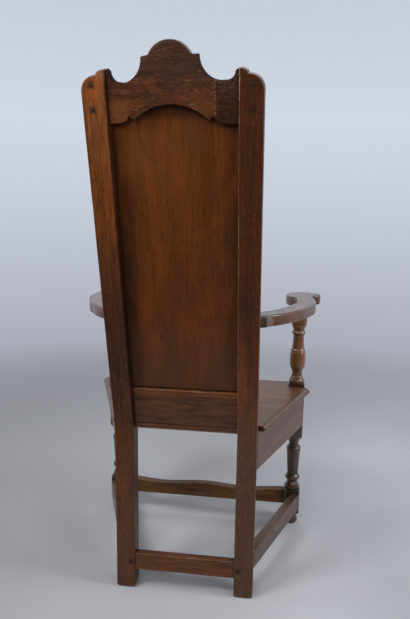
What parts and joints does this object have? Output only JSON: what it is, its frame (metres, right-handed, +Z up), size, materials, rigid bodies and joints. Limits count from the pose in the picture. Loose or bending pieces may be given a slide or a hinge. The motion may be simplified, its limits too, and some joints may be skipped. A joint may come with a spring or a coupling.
{
  "type": "armchair",
  "caption": "High panel-back joined wooden armchair with a shaped crest, splayed bowed arms on turned posts, a plank seat and box stretchers.",
  "frame": {"origin": "on the floor under the centre of the chair's bounding box", "axes": "+Z up, the chair's front faces -Y, the sitter's left is +X"},
  "size_m": [0.6706, 0.6904, 1.2982],
  "materials": {
    "stile_wood": "waxed mid brown, worn",
    "crest_wood": "waxed very dark brown",
    "panel_wood": "waxed mid brown, straight grain",
    "seat_wood": "waxed brown with a satin sheen",
    "peg_wood": "dark end grain"
  },
  "bodies": {
    "root": {"rear_stile_left": "stile_wood", "rear_stile_right": "stile_wood", "front_post_left": "stile_wood", "front_post_right": "stile_wood", "crest_rail": "crest_wood", "back_panel": "panel_wood", "lower_back_rail": "stile_wood", "seat_board": "seat_wood", "front_apron": "stile_wood", "side_apron_left": "seat_wood", "side_apron_right": "seat_wood", "rear_stretcher": "stile_wood", "front_stretcher": "stile_wood", "side_stretcher_left": "seat_wood", "side_stretcher_right": "seat_wood", "arm_left": "seat_wood", "arm_right": "seat_wood", "crest_peg_left_upper": "peg_wood", "crest_peg_left_lower": "peg_wood", "rear_stretcher_peg_left": "peg_wood", "side_stretcher_peg_left": "peg_wood", "crest_peg_right_upper": "peg_wood", "crest_peg_right_lower": "peg_wood", "rear_stretcher_peg_right": "peg_wood", "side_stretcher_peg_right": "peg_wood"}
  },
  "joints": []
}
